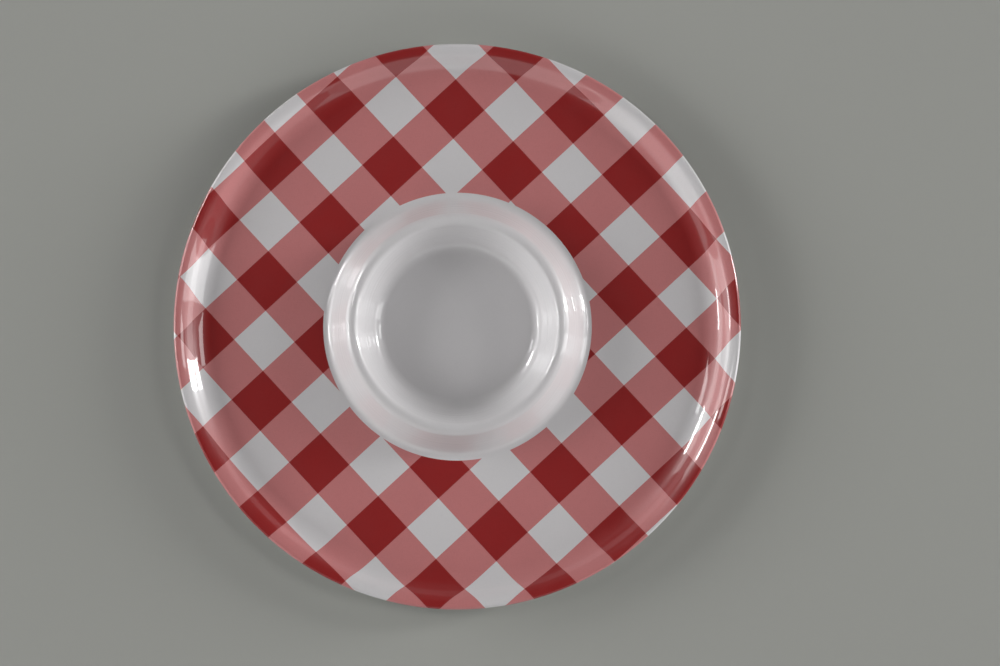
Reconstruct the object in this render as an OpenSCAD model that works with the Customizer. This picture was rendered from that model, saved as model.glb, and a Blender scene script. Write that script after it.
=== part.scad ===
// Round chip and dip server: a melamine plate with a dip bowl moulded into its middle
// and a gingham print under the glaze of the chip ring around the bowl.
// The whole section is one line of tangent arcs and straights, turned about Z.
// Origin: centre of the foot ring, on the table. +Z is up.

/* [Plate] */
// Diameter over the rim
plate_d = 356; // [300:1:400]
// Height of the chip ring's upper face above the table
plate_top_z = 8.2; // [7.6:0.1:12]
// Wall thickness of the moulding
wall = 3.2; // [2.6:0.1:3.6]

/* [Rim] */
// Steepest slope of the rim, in degrees
rim_slope = 43; // [35:1:50]
// Slope of the lip at the very edge, in degrees
lip_slope = 7; // [0:1:10]
// Radius of the hollow curve between chip ring and rim
rim_hollow_r = 18.6; // [12:0.1:24]
// Length of the straight wall between both curves of the rim
rim_wall_l = 3.5; // [1:0.1:5]
// Radius of the round curve from the rim over to the lip
rim_round_r = 12.1; // [8:0.1:16]

/* [Dip bowl] */
// Depth of the bowl below its crest
bowl_depth = 20; // [16:0.5:22]
// Radius of the bowl's flat floor
bowl_floor_r = 45.6; // [35:0.1:47]
// Radius of the hollow curve between floor and wall
bowl_hollow_r = 9.4; // [6:0.1:11]
// Radius of the circle that the top of the crest runs along
crest_circle_r = 65.2; // [64:0.1:68]
// Radius of the rounded crest on the bowl's side
crest_in_r = 3.8; // [3.7:0.1:5]
// Radius of the rounded crest on the chip ring's side
crest_out_r = 6; // [5:0.1:8]
// Height of the crest above the chip ring
crest_h = 20; // [18:0.5:22]
// Radius at which the flare outside the bowl meets the chip ring
flare_end_r = 84; // [82:0.1:84.5]
// Radius of the flare
flare_hollow_r = 6.2; // [4:0.1:8]

/* [Foot ring] */
// Radius of the middle of the foot ring
foot_r = 115; // [100:1:130]
// Width of the foot ring
foot_w = 6; // [5:0.5:10]
// Radius of the rounding along both edges of the foot
foot_round_r = 1.4; // [0.8:0.1:2]

/* [Print] */
// Side of one check
check_side = 26.8; // [15:0.1:40]
// Turn of the rows of checks from the X axis, in degrees
check_turn = 42.7; // [0:0.1:89.9]
// Place of one dark check's centre along its turned row
check_shift_x = -15.2; // [-20:0.1:20]
// Place of the same centre across its turned row
check_shift_y = -4.6; // [-20:0.1:20]
// Radius at which the printed foil begins
foil_inner_r = 84.6; // [84.1:0.1:100]
// Thickness of the foil's paper
paper_t = 0.3; // [0.3:0.1:0.5]
// Thickness of the ink, soaked into the top of the foil
ink_t = 0.3; // [0.3:0.1:0.5]

/* [Hidden] */

WHITE = [0.90, 0.89, 0.89];
PAPER = [0.86, 0.86, 0.87];
PINK = [0.80, 0.47, 0.47];
RED = [0.62, 0.13, 0.14];

ARC_STEP = 7.5;        // turn between two points along a section arc, in degrees
SHORTEST_STEP = 0.2;   // least part of a step left at either end of an arc
HIGH = 60;             // taller than the whole server
LEAST_CORNER = 1.2;    // reach of the smallest corner of a check at the edge
DRAPE_STEPS = 4;       // straight steps along the side of a check that lies on the rim

plate_r = plate_d / 2;
edge_round_r = wall / 2;
crest_z = plate_top_z + crest_h;
floor_z = crest_z - bowl_depth;

// Slope of the straight wall that touches two arcs on opposite sides of it:
// run and rise lie between the arcs' centres, and radii is the sum of both radii.
function wall_slope(run, rise, radii) =
    atan2(rise, run) + atan2(radii, sqrt(run * run + rise * rise - radii * radii));

function dir(angle) = [cos(angle), sin(angle)];

// Points along an arc: both ends, and the whole steps between them, so that a
// highest, lowest or widest point is always among them.
function arc(centre, radius, from, to) =
    let (way = sign(to - from),
         first = ceil(way * from / ARC_STEP + SHORTEST_STEP),
         last = floor(way * to / ARC_STEP - SHORTEST_STEP),
         between = [for (i = [first:1:last]) way * i * ARC_STEP])
    [for (angle = concat([from], between, [to])) centre + radius * dir(angle)];

// Centres of the section's arcs, from the axis outwards
bowl_hollow_c = [bowl_floor_r, floor_z + bowl_hollow_r];
crest_in_c = [crest_circle_r, crest_z - crest_in_r];
crest_out_c = [crest_circle_r, crest_z - crest_out_r];
flare_c = [flare_end_r, plate_top_z + flare_hollow_r];
edge_c = [plate_r - edge_round_r,
          plate_top_z + rim_hollow_r * (1 - cos(rim_slope)) + rim_wall_l * sin(rim_slope)
          + rim_round_r * (cos(lip_slope) - cos(rim_slope)) - edge_round_r * cos(lip_slope)];
rim_round_c = edge_c - (rim_round_r - edge_round_r) * dir(90 + lip_slope);
rim_hollow_c = rim_round_c + (rim_round_r + rim_hollow_r) * dir(90 + rim_slope)
               - rim_wall_l * dir(rim_slope);

inner_slope = wall_slope(crest_in_c.x - bowl_hollow_c.x, crest_in_c.y - bowl_hollow_c.y,
                         crest_in_r + bowl_hollow_r);
outer_slope = wall_slope(flare_c.x - crest_out_c.x, crest_out_c.y - flare_c.y,
                         crest_out_r + flare_hollow_r);

// Lines of the section at a depth below the upper face, so hollow arcs grow with depth
// and round arcs shrink. The bowl's line runs from the axis to the end of the flare.
function bowl_line(depth) = concat(
    [[0, floor_z - depth]],
    arc(bowl_hollow_c, bowl_hollow_r + depth, -90, inner_slope - 90),
    arc(crest_in_c, crest_in_r - depth, 90 + inner_slope, 90),
    arc(crest_out_c, crest_out_r - depth, 90 - ARC_STEP, 90 - outer_slope),
    arc(flare_c, flare_hollow_r + depth, 270 - outer_slope, 270));

// The rim's line runs from the chip ring to the lip.
function rim_line(depth) = concat(
    arc(rim_hollow_c, rim_hollow_r + depth, -90, rim_slope - 90),
    arc(rim_round_c, rim_round_r - depth, 90 + rim_slope, 90 + lip_slope));

// The foil's line runs from its inner edge, over the rim, to the widest point of the edge.
function foil_line(depth) = concat(
    [[foil_inner_r, plate_top_z - depth]],
    rim_line(depth),
    arc(edge_c, edge_round_r - depth, 89 + lip_slope, 0));

function reversed(points) = [for (i = [len(points) - 1:-1:0]) points[i]];

module plate_section() {
    polygon(concat(
        bowl_line(0), rim_line(0),
        arc(edge_c, edge_round_r, 89 + lip_slope, lip_slope - 89),
        reversed(rim_line(wall)), reversed(bowl_line(wall))));
}

// Foot ring in section, sunk half a wall into the plate
module foot_section() {
    top_z = plate_top_z - wall / 2;
    translate([foot_r, 0])
        polygon(concat(
            arc([foot_w / 2 - foot_round_r, foot_round_r], foot_round_r, -90, 0),
            [[foot_w / 2, top_z], [-foot_w / 2, top_z]],
            arc([foot_round_r - foot_w / 2, foot_round_r], foot_round_r, 180, 270)));
}

// A layer of the foil between two depths
module foil_section(from, to) {
    polygon(concat(foil_line(from), reversed(foil_line(to))));
}

module foil_layer(from, to) {
    rotate_extrude($fn = 180) foil_section(from, to);
}

// The foil is printed flat and then draped over the rim, so that lengths along the
// section stay as printed: pairs of a radius on the flat sheet and one on the plate.
foil_top = foil_line(0);
function sheet_r(i) = i == 0 ? foil_inner_r : sheet_r(i - 1) + norm(foil_top[i] - foil_top[i - 1]);
foil_end = len(foil_top) - 1;
drape = concat([[0, 0]],
               [for (i = [0:foil_end]) [sheet_r(i), foil_top[i].x]],
               [[sheet_r(foil_end) + plate_r, 2 * plate_r]]);

function draped(point) =
    norm(point) == 0 ? point : point * lookup(norm(point), drape) / norm(point);

// Points along one side of a check, without its end. Only on the rim does a side bend.
function side(start, end) =
    let (steps = max(norm(start), norm(end)) > rim_hollow_c.x ? DRAPE_STEPS : 1)
    [for (i = [0:steps - 1]) draped(start + (end - start) * i / steps)];

// Distance from the axis to a check that stands square to X and Y
function gap_to_check(centre) = norm([for (x = centre) max(abs(x) - check_side / 2, 0)]);

module check(centre) {
    corners = [for (way = [[-1, -1], [1, -1], [1, 1], [-1, 1]]) centre + way * check_side / 2];
    linear_extrude(HIGH)
        polygon([for (i = [0:3], point = side(corners[i], corners[(i + 1) % 4])) point]);
}

// Upright prisms of one kind of check. Columns and rows stand two sides apart,
// and step moves the set by half a repeat along either row. A check that would
// only touch the edge with a corner is left out.
module checks(step) {
    repeat = 2 * check_side;
    reach = ceil(plate_r / repeat) + 1;
    rotate(check_turn)
        for (column = [-reach:reach], row = [-reach:reach]) {
            centre = [check_shift_x, check_shift_y] + repeat * ([column, row] + step);
            if (lookup(gap_to_check(centre), drape) < plate_r - LEAST_CORNER)
                check(centre);
        }
}

module melamine_body() {
    color(WHITE) {
        rotate_extrude($fn = 180)
            difference() {
                plate_section();
                foil_section(0, ink_t + paper_t);
            }
        rotate_extrude($fn = 180) foot_section();
    }
}

// Printed paper: full thickness where it stays white, thinner under the ink
module decor_foil() {
    color(PAPER) {
        foil_layer(ink_t, ink_t + paper_t);
        intersection() {
            foil_layer(0, ink_t);
            checks([0.5, 0.5]);
        }
    }
}

module pink_checks() {
    color(PINK)
        intersection() {
            foil_layer(0, ink_t);
            union() {
                checks([0.5, 0]);
                checks([0, 0.5]);
            }
        }
}

module red_checks() {
    color(RED)
        intersection() {
            foil_layer(0, ink_t);
            checks([0, 0]);
        }
}

melamine_body();
decor_foil();
pink_checks();
red_checks();
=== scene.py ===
"""Looks of a gingham chip and dip server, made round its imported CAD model.

The moulding and the printed foil are turned from one section line of tangent arcs,
the same line as the CAD model's, with its inks cut along the rows of checks.
"""
import math

import bmesh
import bpy
import numpy as np
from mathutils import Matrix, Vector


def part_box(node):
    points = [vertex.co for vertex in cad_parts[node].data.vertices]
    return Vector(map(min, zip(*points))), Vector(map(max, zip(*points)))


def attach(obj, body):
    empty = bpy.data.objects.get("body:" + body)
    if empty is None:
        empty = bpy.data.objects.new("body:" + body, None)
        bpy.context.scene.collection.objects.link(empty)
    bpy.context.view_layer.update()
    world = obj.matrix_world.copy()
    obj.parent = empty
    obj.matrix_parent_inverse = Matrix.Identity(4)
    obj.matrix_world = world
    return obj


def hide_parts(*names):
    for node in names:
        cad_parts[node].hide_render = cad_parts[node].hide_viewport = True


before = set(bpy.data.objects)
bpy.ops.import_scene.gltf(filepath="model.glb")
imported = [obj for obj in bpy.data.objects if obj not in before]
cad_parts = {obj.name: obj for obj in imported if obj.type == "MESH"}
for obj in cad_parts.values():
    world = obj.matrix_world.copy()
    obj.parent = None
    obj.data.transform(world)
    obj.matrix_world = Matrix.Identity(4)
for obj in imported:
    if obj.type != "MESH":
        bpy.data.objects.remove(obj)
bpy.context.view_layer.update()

# Sizes in metres, from the frame's boxes
BODY_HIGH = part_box("melamine_body")[1]
FOIL_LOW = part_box("decor_foil")[0]
PLATE_R = BODY_HIGH.x
CREST_Z = BODY_HIGH.z

# Sizes in metres that no box gives: the section's arcs and the print
PAPER_T = 0.0003
INK_T = 0.0003
FOIL_T = PAPER_T + INK_T
WALL = 0.0032
PLATE_TOP_Z = FOIL_LOW.z + FOIL_T
EDGE_ROUND_R = WALL / 2
RIM_SLOPE, LIP_SLOPE = 43, 7
RIM_HOLLOW_R, RIM_WALL_L, RIM_ROUND_R = 0.0186, 0.0035, 0.0121
BOWL_DEPTH = 0.020
BOWL_FLOOR_R, BOWL_HOLLOW_R = 0.0456, 0.0094
CREST_CIRCLE_R, CREST_IN_R, CREST_OUT_R = 0.0652, 0.0038, 0.0060
FLARE_END_R, FLARE_HOLLOW_R = 0.084, 0.0062
FOIL_INNER_R = 0.0846
FOOT_R, FOOT_W, FOOT_ROUND_R, FOOT_BLEND_R = 0.115, 0.006, 0.0014, 0.0012
CHECK_SIDE, CHECK_TURN = 0.0268, 42.7
CHECK_SHIFT = (-0.0152, -0.0046)

SEGMENTS = 384        # steps round a turned piece
ARC_STEP = 2.0        # turn of one step along an arc of the section, in degrees
FLAT_STEP = 0.009     # longest straight step along the section
SHARP_ANGLE = 25      # edges of a turned piece that bend more are not smoothed, in degrees
TURNS = [2 * math.pi * i / SEGMENTS for i in range(SEGMENTS)]


# ---------------------------------------------------------------- section lines

def direction(angle):
    """Unit vector in a plane, at an angle in degrees from the plane's first axis."""
    return np.array([math.cos(math.radians(angle)), math.sin(math.radians(angle))])


def arc(centre, radius, start, end):
    """Points of an arc, each with its normal: (r, z, normal r, normal z).

    An arc that turns clockwise is round and its normals point away from the centre;
    one that turns the other way is hollow and they point to it."""
    steps = max(1, math.ceil(abs(end - start) / ARC_STEP))
    facing = 1 if end < start else -1
    rows = []
    for angle in np.linspace(start, end, steps + 1):
        out = direction(angle)
        rows.append([*(np.asarray(centre) + radius * out), *(facing * out)])
    return rows


def straight(start, end):
    """Points between two points, without them, no further apart than FLAT_STEP."""
    start, end = np.asarray(start[:2]), np.asarray(end[:2])
    run = end - start
    length = np.linalg.norm(run)
    steps = math.ceil(length / FLAT_STEP)
    normal = np.array([-run[1], run[0]]) / length
    return [[*(start + run * i / steps), *normal] for i in range(1, steps)]


def wall_slope(run, rise, radii):
    """Slope of the straight that touches two arcs on its opposite sides."""
    return math.degrees(math.atan2(rise, run)
                        + math.atan2(radii, math.sqrt(run**2 + rise**2 - radii**2)))


FLOOR_Z = CREST_Z - BOWL_DEPTH
BOWL_HOLLOW_C = (BOWL_FLOOR_R, FLOOR_Z + BOWL_HOLLOW_R)
CREST_IN_C = (CREST_CIRCLE_R, CREST_Z - CREST_IN_R)
CREST_OUT_C = (CREST_CIRCLE_R, CREST_Z - CREST_OUT_R)
FLARE_C = (FLARE_END_R, PLATE_TOP_Z + FLARE_HOLLOW_R)
RIM_RISE = (RIM_HOLLOW_R * (1 - direction(RIM_SLOPE)[0]) + RIM_WALL_L * direction(RIM_SLOPE)[1]
            + RIM_ROUND_R * (direction(LIP_SLOPE)[0] - direction(RIM_SLOPE)[0]))
EDGE_C = np.array([PLATE_R - EDGE_ROUND_R,
                   PLATE_TOP_Z + RIM_RISE - EDGE_ROUND_R * direction(LIP_SLOPE)[0]])
RIM_ROUND_C = EDGE_C - (RIM_ROUND_R - EDGE_ROUND_R) * direction(90 + LIP_SLOPE)
RIM_HOLLOW_C = (RIM_ROUND_C + (RIM_ROUND_R + RIM_HOLLOW_R) * direction(90 + RIM_SLOPE)
                - RIM_WALL_L * direction(RIM_SLOPE))
INNER_SLOPE = wall_slope(CREST_IN_C[0] - BOWL_HOLLOW_C[0],
                         CREST_IN_C[1] - BOWL_HOLLOW_C[1], CREST_IN_R + BOWL_HOLLOW_R)
OUTER_SLOPE = wall_slope(FLARE_C[0] - CREST_OUT_C[0], CREST_OUT_C[1] - FLARE_C[1],
                         CREST_OUT_R + FLARE_HOLLOW_R)


def joined(*stretches):
    """Stretches of a line with evenly spaced straights between them."""
    line = list(stretches[0])
    for stretch in stretches[1:]:
        line += straight(line[-1], stretch[0]) + list(stretch)
    return line


def bowl_line(depth):
    """From the axis, up the bowl, over its crest and down to the chip ring."""
    return joined(
        [[0, FLOOR_Z - depth, 0, 1]],
        arc(BOWL_HOLLOW_C, BOWL_HOLLOW_R + depth, -90, INNER_SLOPE - 90),
        arc(CREST_IN_C, CREST_IN_R - depth, 90 + INNER_SLOPE, 90),
        arc(CREST_OUT_C, CREST_OUT_R - depth, 90, 90 - OUTER_SLOPE)[1:],
        arc(FLARE_C, FLARE_HOLLOW_R + depth, 270 - OUTER_SLOPE, 270))


def rim_line(depth):
    """Over the rim, from the chip ring to the lip."""
    return joined(
        arc(RIM_HOLLOW_C, RIM_HOLLOW_R + depth, -90, RIM_SLOPE - 90),
        arc(RIM_ROUND_C, RIM_ROUND_R - depth, 90 + RIM_SLOPE, 90 + LIP_SLOPE))


def foil_line(depth):
    """From the foil's inner edge to the widest point of the plate's edge."""
    start = [[FOIL_INNER_R, PLATE_TOP_Z - depth, 0, 1]]
    edge = arc(EDGE_C, EDGE_ROUND_R - depth, 90 + LIP_SLOPE, 0)
    return joined(start, rim_line(depth) + edge[1:])


def foot_line():
    """The underside's foot ring, from its outer side to its inner side."""
    under_z = PLATE_TOP_Z - WALL
    outer, inner = FOOT_R + FOOT_W / 2, FOOT_R - FOOT_W / 2
    return joined(
        arc((outer + FOOT_BLEND_R, under_z - FOOT_BLEND_R), FOOT_BLEND_R, 90, 180),
        arc((outer - FOOT_ROUND_R, FOOT_ROUND_R), FOOT_ROUND_R, 0, -90),
        arc((inner + FOOT_ROUND_R, FOOT_ROUND_R), FOOT_ROUND_R, -90, -180),
        arc((inner - FOOT_BLEND_R, under_z - FOOT_BLEND_R), FOOT_BLEND_R, 0, 90))


def moulding_line():
    """The whole moulding's section, with the recess that holds the foil."""
    recess = foil_line(FOIL_T)
    edge = arc(EDGE_C, EDGE_ROUND_R, 0, LIP_SLOPE - 90)
    under_rim = rim_line(WALL)[::-1]
    under_bowl = bowl_line(WALL)[::-1]
    return joined(
        bowl_line(0), foil_line(0)[:1], recess, edge, under_rim, foot_line(), under_bowl)


# ---------------------------------------------------------------- turned pieces

def new_object(name, bm):
    """A scene object from a bmesh, which is freed."""
    mesh = bpy.data.meshes.new(name)
    bm.to_mesh(mesh)
    bm.free()
    piece = bpy.data.objects.new(name, mesh)
    bpy.context.scene.collection.objects.link(piece)
    return piece


def turned(name, line):
    """A closed solid: a section line turned about the Z axis. Its ends lie on the axis."""
    bm = bmesh.new()
    rings = []
    for radius, z, *_ in line:
        if radius < 1e-6:
            rings.append([bm.verts.new((0, 0, z))] * SEGMENTS)
        else:
            rings.append([bm.verts.new((radius * math.cos(turn), radius * math.sin(turn), z))
                          for turn in TURNS])
    for low, high in zip(rings, rings[1:]):
        for i in range(SEGMENTS):
            j = (i + 1) % SEGMENTS
            corners = [low[i], high[i], high[j], low[j]]
            bm.faces.new(list(dict.fromkeys(corners)))
    bmesh.ops.recalc_face_normals(bm, faces=bm.faces)
    piece = new_object(name, bm)
    piece.data.shade_smooth()
    piece.data.set_sharp_from_angle(angle=math.radians(SHARP_ANGLE))
    return piece


# ---------------------------------------------------------------- the print

def check_of(point):
    """Even ones are inked."""
    turn = math.radians(-CHECK_TURN)
    x = point.x * math.cos(turn) - point.y * math.sin(turn) - CHECK_SHIFT[0]
    y = point.x * math.sin(turn) + point.y * math.cos(turn) - CHECK_SHIFT[1]
    return round(x / CHECK_SIDE), round(y / CHECK_SIDE)


def checked_skin():
    """The foil's upper face as a bmesh: a flat sheet cut along the rows of checks, then
    draped over the plate, so that lengths along the section stay as printed. The layer
    named normal keeps the true normal of the surface at each vertex."""
    line = np.array(foil_line(0))
    steps = np.linalg.norm(np.diff(line[:, :2], axis=0), axis=1)
    flat_radii = FOIL_INNER_R + np.concatenate([[0], np.cumsum(steps)])

    bm = bmesh.new()
    rings = [[bm.verts.new((radius * math.cos(turn), radius * math.sin(turn), 0))
              for turn in TURNS] for radius in flat_radii]
    for low, high in zip(rings, rings[1:]):
        for i in range(SEGMENTS):
            j = (i + 1) % SEGMENTS
            bm.faces.new([low[i], high[i], high[j], low[j]])
    sheet_r = flat_radii[-1]
    reach = math.ceil(sheet_r / CHECK_SIDE) + 1
    for axis, turn in ((0, CHECK_TURN), (1, CHECK_TURN + 90)):
        across = (*direction(turn), 0)
        for number in range(-reach, reach):
            offset = CHECK_SHIFT[axis] + (number + 0.5) * CHECK_SIDE
            if abs(offset) < sheet_r:
                bmesh.ops.bisect_plane(
                    bm, geom=bm.verts[:] + bm.edges[:] + bm.faces[:], dist=1e-7,
                    plane_co=[offset * part for part in across], plane_no=across)

    checks = {face: check_of(face.calc_center_median()) for face in bm.faces}
    layer = bm.verts.layers.float_vector.new("normal")
    for vert in bm.verts:
        flat_r = math.hypot(vert.co.x, vert.co.y)
        cos, sin = vert.co.x / flat_r, vert.co.y / flat_r
        radius, z, normal_r, normal_z = (np.interp(flat_r, flat_radii, column)
                                         for column in line.T)
        vert.co = (radius * cos, radius * sin, z)
        vert[layer] = (normal_r * cos, normal_r * sin, normal_z)
    bm.verts.index_update()
    return bm, layer, checks


def layered(name, skin, depths):
    """A closed piece below some of the skin's faces. depths(check) gives (island, top,
    bottom) for the faces of a check: faces of one island share vertices, top and bottom
    are depths below the skin, and None leaves the check out. Where top steps down from
    one face to the next, a wall closes the step."""
    _, layer, checks = skin
    made = bmesh.new()
    true_normal = made.verts.layers.float_vector.new("normal")
    on_skin = made.faces.layers.int.new("on_skin")
    verts = {}

    def vert_at(island, vert, depth):
        key = island, vert.index, depth
        if key not in verts:
            normal = vert[layer].normalized()
            verts[key] = made.verts.new(vert.co - normal * depth)
            verts[key][true_normal] = normal
        return verts[key]

    wanted = {face: depths(check) for face, check in checks.items()}
    levels = sorted({depth for want in wanted.values() if want for depth in want[1:]})
    for face, want in wanted.items():
        if want is None:
            continue
        island, top, bottom = want
        upper = made.faces.new([vert_at(island, v, top) for v in face.verts])
        upper[on_skin] = 1
        made.faces.new([vert_at(island, v, bottom) for v in reversed(face.verts)])
        for loop in face.loops:
            start, end = loop.vert, loop.link_loop_next.vert
            other = next((f for f in loop.edge.link_faces if f is not face), None)
            beside = wanted.get(other)
            foot = beside[1] if beside and beside[0] == island else bottom
            for high, low in zip(levels, levels[1:]):
                if top <= high and low <= foot:
                    made.faces.new([vert_at(island, start, high), vert_at(island, start, low),
                                    vert_at(island, end, low), vert_at(island, end, high)])
    piece = new_object(name, made)
    set_normals(piece)
    return piece


def set_normals(piece):
    """Shades the faces on the skin with its true normals, and every other face flat."""
    mesh = piece.data
    true_normals = np.zeros(len(mesh.vertices) * 3)
    mesh.attributes["normal"].data.foreach_get("vector", true_normals)
    true_normals = true_normals.reshape(-1, 3)
    mesh.shade_smooth()
    normals = np.zeros((len(mesh.loops), 3))
    for face in mesh.polygons:
        for i in face.loop_indices:
            vertex = mesh.loops[i].vertex_index
            smooth = mesh.attributes["on_skin"].data[face.index].value
            normals[i] = true_normals[vertex] if smooth else face.normal
    mesh.normals_split_custom_set(normals.tolist())
    mesh.attributes.remove(mesh.attributes["normal"])
    mesh.attributes.remove(mesh.attributes["on_skin"])


def inks_on(check):
    """How many of the two sets of stripes cross a check: 0 white, 1 pink, 2 red."""
    return sum(place % 2 == 0 for place in check)


def paper_depths(check):
    return "paper", (INK_T if inks_on(check) else 0.0), FOIL_T


def ink_depths(inks):
    def depths(check):
        return (check, 0.0, INK_T) if inks_on(check) == inks else None
    return depths


# ---------------------------------------------------------------- materials

WHITE = (0.79, 0.77, 0.78)
PINK = (0.66, 0.24, 0.24)
RED = (0.35, 0.024, 0.024)

# Sizes of what shows in the surface, in metres
CLOUDS = 0.035             # slow clouds in the colour
POWDER = 0.0005            # grain of the moulding powder
FIBRES = 0.004             # paper fibres
FIBRE_SHAPE = 7            # a fibre's length over its width
GLOSS_CLOUDS = 0.012       # clouds in the gloss
WAVES = 0.016              # slow waves in the relief
PEEL = 0.0012              # orange peel in the relief

# Heights of the relief, in metres
WAVINESS = 0.000015
ORANGE_PEEL = 0.0000006
TURNING_MARKS = 0.00025
TURNING_PITCH = 0.0024     # distance between two turning marks

ROUGHNESS = 0.30, 0.38     # of the melamine under its coat
COAT_ROUGHNESS = 0.03
IOR = 1.5

SPECKS_PER_METRE = 90.0
NO_SPECK = 0.86            # share of the places for a speck that stay empty
SPECK_EDGE = 0.014, 0.022  # where a speck starts to fade and ends, in places
SPECK_SHADE = 0.6          # a speck's brightness


def node(tree, kind, **values):
    """A shader node with some of its properties or inputs set."""
    made = tree.nodes.new(kind)
    for name, value in values.items():
        if hasattr(made, name):
            setattr(made, name, value)
        else:
            made.inputs[name.replace("_", " ")].default_value = value
    return made


def mapped(tree, value, low, high, start, end):
    """A value that runs from start to end while another runs from low to high."""
    made = node(tree, "ShaderNodeMapRange", From_Min=low, From_Max=high, To_Min=start, To_Max=end)
    tree.links.new(value, made.inputs["Value"])
    return made.outputs[0]


def combined(tree, operation, first, second):
    """Two values, or a value and a number, joined by a Math node."""
    made = node(tree, "ShaderNodeMath", operation=operation)
    for socket, part in zip(made.inputs, (first, second)):
        if isinstance(part, float):
            socket.default_value = part
        else:
            tree.links.new(part, socket)
    return made.outputs[0]


def cloud(tree, place, size, detail=2.0, squeeze=(1, 1, 1)):
    """Noise with clouds of about the given size in metres, from 0 to 1. squeeze says how
    many times narrower they are along each axis."""
    scaled = node(tree, "ShaderNodeVectorMath", operation="MULTIPLY")
    scaled.inputs[1].default_value = squeeze
    tree.links.new(place, scaled.inputs[0])
    made = node(tree, "ShaderNodeTexNoise", Scale=1 / size, Detail=detail)
    tree.links.new(scaled.outputs[0], made.inputs["Vector"])
    return made.outputs["Fac"]


def specks(tree, place):
    """1 in a few tiny specks of overcooked powder, 0 elsewhere."""
    cells = node(tree, "ShaderNodeTexVoronoi", Scale=SPECKS_PER_METRE)
    tree.links.new(place, cells.inputs["Vector"])
    chosen = combined(tree, "GREATER_THAN", cells.outputs["Color"], NO_SPECK)
    inside = mapped(tree, cells.outputs["Distance"], *SPECK_EDGE, 1.0, 0.0)
    return combined(tree, "MULTIPLY", chosen, inside)


def wandering(tree, noise, spread):
    """A shade that wanders with a noise, by a spread to either side of 1."""
    return mapped(tree, noise, 0.3, 0.7, 1 - spread, 1 + spread)


def shade_of(tree, place, mottling, fibres):
    """How bright the colour is at each place: clouds, powder, paper fibres and specks."""
    shade = combined(tree, "MULTIPLY",
                     wandering(tree, cloud(tree, place, CLOUDS, 3.0), mottling),
                     wandering(tree, cloud(tree, place, POWDER), mottling))
    for squeeze in ((1, FIBRE_SHAPE, 1), (FIBRE_SHAPE, 1, 1)):
        fibre = cloud(tree, place, FIBRES, 3.0, squeeze)
        shade = combined(tree, "MULTIPLY", shade,
                         mapped(tree, fibre, 0.55, 0.75, 1.0, 1 - fibres))
    return combined(tree, "MULTIPLY", shade,
                    mapped(tree, specks(tree, place), 0.0, 1.0, 1.0, SPECK_SHADE))


def relief_of(tree, place, turning):
    """Height of the surface at each place: waves, orange peel and level turning marks."""
    height = combined(tree, "ADD",
                      combined(tree, "MULTIPLY", cloud(tree, place, WAVES, 0.0), WAVINESS),
                      combined(tree, "MULTIPLY", cloud(tree, place, PEEL, 1.0), ORANGE_PEEL))
    if not turning:
        return height
    level = node(tree, "ShaderNodeSeparateXYZ")
    tree.links.new(place, level.inputs[0])
    marks = node(tree, "ShaderNodeTexNoise", noise_dimensions="1D", Scale=1.0, Detail=1.0)
    tree.links.new(combined(tree, "MULTIPLY", level.outputs["Z"], 1 / TURNING_PITCH),
                   marks.inputs["W"])
    return combined(tree, "ADD", height,
                    combined(tree, "MULTIPLY", marks.outputs["Fac"], turning))


def melamine(name, colour, mottling, fibres=0.0, turning=0.0):
    """Glossy melamine under a clear coat. mottling is how far its colour wanders, fibres
    how far paper fibres show in it, and turning the height in metres of the marks that
    the turned mould left round its walls."""
    material = bpy.data.materials.new(name)
    material.use_nodes = True
    tree = material.node_tree
    link = tree.links.new
    shader = tree.nodes["Principled BSDF"]
    place = node(tree, "ShaderNodeTexCoord").outputs["Object"]

    tint = node(tree, "ShaderNodeVectorMath", operation="SCALE")
    tint.inputs[0].default_value = colour
    link(shade_of(tree, place, mottling, fibres), tint.inputs["Scale"])
    link(tint.outputs[0], shader.inputs["Base Color"])
    link(mapped(tree, cloud(tree, place, GLOSS_CLOUDS), 0.3, 0.7, *ROUGHNESS),
         shader.inputs["Roughness"])

    bump = node(tree, "ShaderNodeBump", Strength=1.0, Distance=1.0)
    link(relief_of(tree, place, turning), bump.inputs["Height"])
    link(bump.outputs[0], shader.inputs["Normal"])
    link(bump.outputs[0], shader.inputs["Coat Normal"])

    shader.inputs["IOR"].default_value = IOR
    shader.inputs["Coat Weight"].default_value = 1.0
    shader.inputs["Coat Roughness"].default_value = COAT_ROUGHNESS
    return material


def dress(piece, material, slot, *nodes):
    """Gives a piece its material and its body, and hides the CAD nodes that it stands for."""
    piece.data.materials.append(material)
    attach(piece, "root")
    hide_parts(*nodes)


moulding = turned("moulding", moulding_line())
dress(moulding, melamine("white_melamine", WHITE, 0.01, turning=TURNING_MARKS),
      "white_melamine", "melamine_body")

skin = checked_skin()
paper = layered("foil_paper", skin, paper_depths)
dress(paper, melamine("foil_white", WHITE, 0.01, fibres=0.02), "foil_white", "decor_foil")
pink = layered("pink_ink", skin, ink_depths(1))
dress(pink, melamine("pink_ink", PINK, 0.02, fibres=0.04), "pink_ink", "pink_checks")
red = layered("red_ink", skin, ink_depths(2))
dress(red, melamine("red_ink", RED, 0.02, fibres=0.06), "red_ink", "red_checks")
skin[0].free()


# ---------------------------------------------------------------- stage

LIGHT_DISTANCE = 10
FLOOR_R = 12.0
FLOOR_COLOUR = (0.44, 0.445, 0.415, 1)
ROOM_COLOUR = (0.98, 1.0, 0.96, 1)
ROOM_LIGHT = 0.005         # strength of the room's light on the object
ROOM_SEEN = 0.3            # brightness of the room behind the floor


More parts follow.
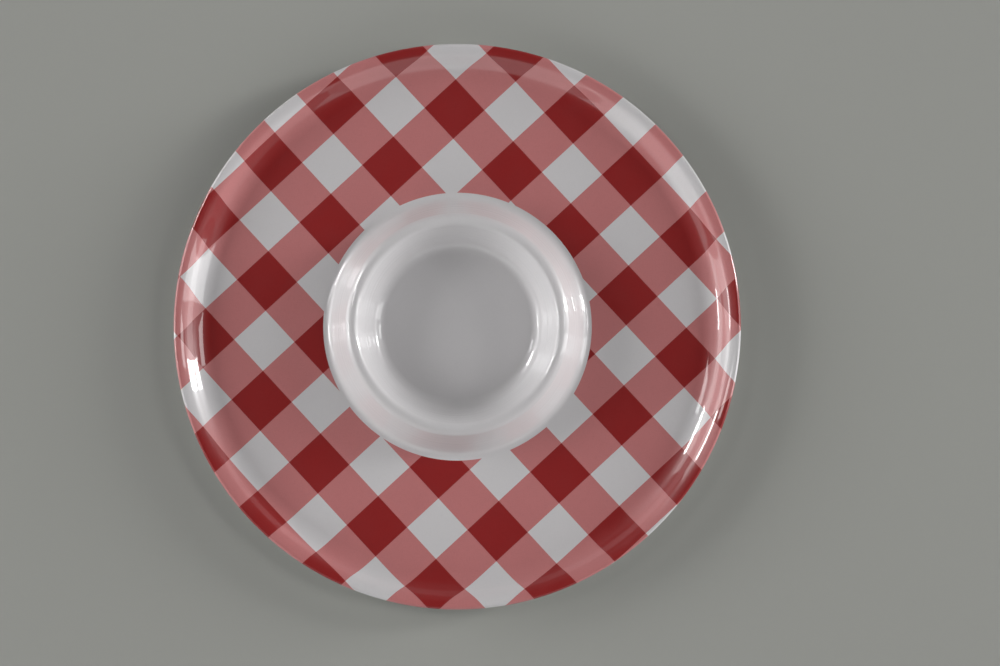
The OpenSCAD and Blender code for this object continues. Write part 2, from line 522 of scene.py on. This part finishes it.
def floor():
    """Plain pale floor, wide enough to reach the horizon."""
    bm = bmesh.new()
    bmesh.ops.create_circle(bm, cap_ends=True, segments=96, radius=FLOOR_R)
    piece = new_object("floor", bm)
    material = bpy.data.materials.new("floor")
    material.use_nodes = True
    shader = material.node_tree.nodes["Principled BSDF"]
    shader.inputs["Base Color"].default_value = FLOOR_COLOUR
    shader.inputs["Roughness"].default_value = 0.7
    piece.data.materials.append(material)


def sky_point(off_axis, turn):
    """A point of the studio at an angle from the vertical and a turn from +X, in degrees."""
    level, up = direction(90 - off_axis)
    across = direction(turn)
    return (LIGHT_DISTANCE * level * across[0], LIGHT_DISTANCE * level * across[1],
            LIGHT_DISTANCE * up)


def softbox(name, off_axis, turn, wide, high, radiance, lights=True, shines=True):
    """A rectangular light facing the plate's centre. Its place and its size are angles
    in degrees, as seen from there. With lights False it only shows in reflections, and
    with shines False it never does."""
    light = bpy.data.lights.new(name, "AREA")
    light.shape = "RECTANGLE"
    light.size = 2 * LIGHT_DISTANCE * math.tan(math.radians(wide / 2))
    light.size_y = 2 * LIGHT_DISTANCE * math.tan(math.radians(high / 2))
    light.energy = radiance * math.pi * light.size * light.size_y
    lamp = bpy.data.objects.new(name, light)
    bpy.context.scene.collection.objects.link(lamp)
    lamp.visible_diffuse = lights
    lamp.visible_glossy = shines
    lamp.location = sky_point(off_axis, turn)
    lamp.rotation_mode = "QUATERNION"
    lamp.rotation_quaternion = lamp.location.to_track_quat("Z", "Y")


def room():
    """Dim light from all round, and a plain pale background where the floor ends."""
    world = bpy.data.worlds.new("studio")
    world.use_nodes = True
    tree = world.node_tree
    background = tree.nodes["Background"]
    background.inputs["Color"].default_value = ROOM_COLOUR
    seen = node(tree, "ShaderNodeLightPath").outputs["Is Camera Ray"]
    tree.links.new(mapped(tree, seen, 0, 1, ROOM_LIGHT, ROOM_SEEN),
                   background.inputs["Strength"])
    bpy.context.scene.world = world


floor()
room()

# Each light: angle from the vertical, turn from +X, width, height, radiance
softbox("left_wall", 75, 167, 46, 28, 2.7)
softbox("left_key", 73, 172, 40, 18, 4.6, shines=False)
softbox("left_softbox", 58, 152, 9, 7, 42.0, lights=False)
softbox("left_side", 62, 179, 8, 6, 18.0, lights=False)
softbox("left_top", 33, 158, 5, 14, 7.0)
softbox("right_lamp", 77.5, 15, 6.5, 24, 36.0)
softbox("right_strip", 63, 354, 10, 50, 3.6)
softbox("right_patch", 42, 10, 7, 16, 6.0)
softbox("right_low", 84, 5, 40, 11, 2.5)
softbox("front_wall", 65, 270, 60, 30, 0.8)
softbox("front_left", 65, 215, 40, 30, 1.0)
softbox("front_right", 65, 320, 40, 30, 0.35)
softbox("back_wall", 65, 90, 60, 30, 0.1)

bpy.context.scene.view_settings.view_transform = "Standard"


# ---------------------------------------------------------------- camera

VIEW_W = 0.6299            # width of the view at the plate, in metres
VIEW_DISTANCE = 2.4
VIEW_ELEVATION = 86        # in degrees
VIEW_CENTRE = (0.0268, -0.0042, PLATE_TOP_Z)

camera = bpy.data.objects.new("camera", bpy.data.cameras.new("camera"))
bpy.context.scene.collection.objects.link(camera)
camera.data.lens = camera.data.sensor_width * VIEW_DISTANCE / VIEW_W
aside, up = direction(VIEW_ELEVATION)
camera.location = (VIEW_CENTRE[0], VIEW_CENTRE[1] - VIEW_DISTANCE * aside,
                   VIEW_CENTRE[2] + VIEW_DISTANCE * up)
camera.rotation_euler = (math.radians(90 - VIEW_ELEVATION), 0, 0)
bpy.context.scene.camera = camera
